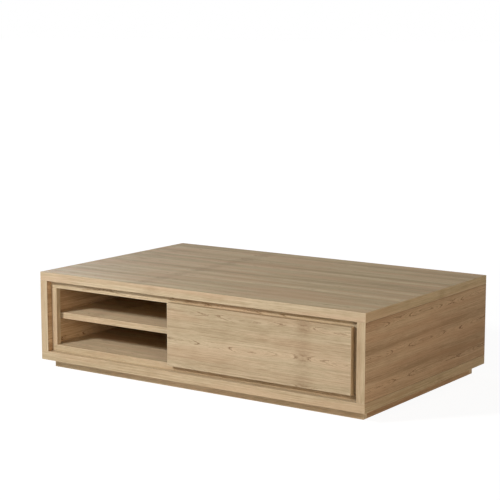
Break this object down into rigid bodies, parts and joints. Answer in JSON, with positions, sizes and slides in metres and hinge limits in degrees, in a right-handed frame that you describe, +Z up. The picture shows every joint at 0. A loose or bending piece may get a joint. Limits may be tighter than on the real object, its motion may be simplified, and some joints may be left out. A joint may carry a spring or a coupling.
{
  "type": "coffee table with drawers",
  "caption": "Low rectangular oak coffee table on a recessed plinth, with a flush handleless drawer and an open shelved niche in each long side.",
  "frame": {"origin": "on the floor, under the middle of the table's outline", "axes": "+X runs along the table, to the right of a user who faces the front; -Y points out of the front; +Z is up; the back half is the front half turned half a turn about Z"},
  "size_m": [1.2, 0.75, 0.313],
  "materials": {
    "top_veneer": "greyed light oak veneer, open straight grain, dull oil, satin",
    "case_veneer": "light oak veneer and matching edge bands, dull oil, satin",
    "face_veneer": "light oak veneer with a crown cut grain and small knots, dull oil",
    "inside_veneer": "light oak veneer inside the bays, dull oil",
    "plinth_veneer": "light oak veneer on the plinth rails, dull oil",
    "drawer_birch": "clear lacquered birch plywood, satin",
    "runner_steel": "bright zinc plated rolled steel",
    "cage_steel": "thin plain steel strip with bright balls"
  },
  "bodies": {
    "carcass": {"top_panel": "top_veneer", "bottom_panel": "case_veneer", "left_side_panel": "case_veneer", "right_side_panel": "case_veneer", "centre_partition": "inside_veneer", "plinth_front_rail": "plinth_veneer", "plinth_back_rail": "plinth_veneer", "plinth_left_rail": "plinth_veneer", "plinth_right_rail": "plinth_veneer", "plinth_centre_rail": "plinth_veneer", "front_top_rail": "face_veneer", "front_bottom_rail": "face_veneer", "front_left_stile": "face_veneer", "front_middle_stile": "face_veneer", "front_right_stile": "face_veneer", "front_shelf": "face_veneer", "front_divider": "inside_veneer", "front_niche_floor": "inside_veneer", "front_runner_packer": "drawer_birch", "front_left_cabinet_channel": "runner_steel", "front_right_cabinet_channel": "runner_steel", "back_top_rail": "face_veneer", "back_bottom_rail": "face_veneer", "back_left_stile": "face_veneer", "back_middle_stile": "face_veneer", "back_right_stile": "face_veneer", "back_shelf": "face_veneer", "back_divider": "inside_veneer", "back_niche_floor": "inside_veneer", "back_runner_packer": "drawer_birch", "back_left_cabinet_channel": "runner_steel", "back_right_cabinet_channel": "runner_steel"},
    "front_drawer": {"front_drawer_front": "face_veneer", "front_drawer_left_side": "drawer_birch", "front_drawer_right_side": "drawer_birch", "front_drawer_back": "drawer_birch", "front_drawer_bottom": "drawer_birch", "front_left_drawer_channel": "runner_steel", "front_right_drawer_channel": "runner_steel"},
    "front_middle_channels": {"front_left_middle_channel": "runner_steel", "front_right_middle_channel": "runner_steel"},
    "front_outer_cages": {"front_left_outer_ball_cage": "cage_steel", "front_right_outer_ball_cage": "cage_steel"},
    "front_inner_cages": {"front_left_inner_ball_cage": "cage_steel", "front_right_inner_ball_cage": "cage_steel"},
    "back_drawer": {"back_drawer_front": "face_veneer", "back_drawer_left_side": "drawer_birch", "back_drawer_right_side": "drawer_birch", "back_drawer_back": "drawer_birch", "back_drawer_bottom": "drawer_birch", "back_left_drawer_channel": "runner_steel", "back_right_drawer_channel": "runner_steel"},
    "back_middle_channels": {"back_left_middle_channel": "runner_steel", "back_right_middle_channel": "runner_steel"},
    "back_outer_cages": {"back_left_outer_ball_cage": "cage_steel", "back_right_outer_ball_cage": "cage_steel"},
    "back_inner_cages": {"back_left_inner_ball_cage": "cage_steel", "back_right_inner_ball_cage": "cage_steel"}
  },
  "joints": [
    {"name": "front_drawer_slide", "type": "slide", "parent": "carcass", "child": "front_drawer", "axis": [0, -1, 0], "range_m": [0, 0.3]},
    {"name": "front_middle_channels_slide", "type": "slide", "parent": "carcass", "child": "front_middle_channels", "axis": [0, -1, 0], "range_m": [0, 0.15]},
    {"name": "front_outer_cages_slide", "type": "slide", "parent": "carcass", "child": "front_outer_cages", "axis": [0, -1, 0], "range_m": [0, 0.075]},
    {"name": "front_inner_cages_slide", "type": "slide", "parent": "carcass", "child": "front_inner_cages", "axis": [0, -1, 0], "range_m": [0, 0.225]},
    {"name": "back_drawer_slide", "type": "slide", "parent": "carcass", "child": "back_drawer", "axis": [0, 1, 0], "range_m": [0, 0.3]},
    {"name": "back_middle_channels_slide", "type": "slide", "parent": "carcass", "child": "back_middle_channels", "axis": [0, 1, 0], "range_m": [0, 0.15]},
    {"name": "back_outer_cages_slide", "type": "slide", "parent": "carcass", "child": "back_outer_cages", "axis": [0, 1, 0], "range_m": [0, 0.075]},
    {"name": "back_inner_cages_slide", "type": "slide", "parent": "carcass", "child": "back_inner_cages", "axis": [0, 1, 0], "range_m": [0, 0.225]}
  ],
  "couplings": [
    {"joint": "front_middle_channels_slide", "follows": "front_drawer_slide", "ratio": 0.5},
    {"joint": "front_outer_cages_slide", "follows": "front_drawer_slide", "ratio": 0.25},
    {"joint": "front_inner_cages_slide", "follows": "front_drawer_slide", "ratio": 0.75},
    {"joint": "back_middle_channels_slide", "follows": "back_drawer_slide", "ratio": 0.5},
    {"joint": "back_outer_cages_slide", "follows": "back_drawer_slide", "ratio": 0.25},
    {"joint": "back_inner_cages_slide", "follows": "back_drawer_slide", "ratio": 0.75}
  ]
}
